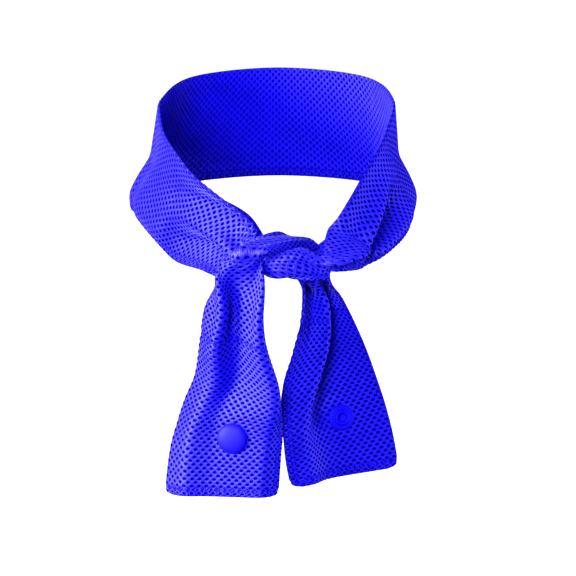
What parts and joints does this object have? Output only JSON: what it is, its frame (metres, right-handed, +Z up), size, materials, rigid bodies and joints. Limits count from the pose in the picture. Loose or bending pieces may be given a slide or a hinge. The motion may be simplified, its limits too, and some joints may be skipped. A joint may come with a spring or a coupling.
{
  "type": "cooling towel neck wrap",
  "caption": "Bright blue eyelet mesh cooling towel tied in a half knot round a neck, with press snaps at its ends.",
  "frame": {"origin": "middle of the space for the neck, half way up the band at the nape", "axes": "+Z up, -Y to the front where the knot is, +X to the viewer's right as the front is faced"},
  "size_m": [0.1315, 0.165, 0.165],
  "materials": {
    "mesh_cloth": "double-layer knitted polyester eyelet mesh, soft sheen",
    "snap_plastic": "moulded plastic press snap, smooth and slightly glossy"
  },
  "bodies": {
    "root": {"neck_band": "mesh_cloth", "knot_wrap": "mesh_cloth", "knot_core": "mesh_cloth", "left_tail": "mesh_cloth", "left_end": "mesh_cloth", "right_tail": "mesh_cloth", "right_end": "mesh_cloth", "snap_cap_left": "snap_plastic", "snap_disc_left": "snap_plastic", "snap_disc_right": "snap_plastic", "snap_cap_right": "snap_plastic"}
  },
  "joints": []
}
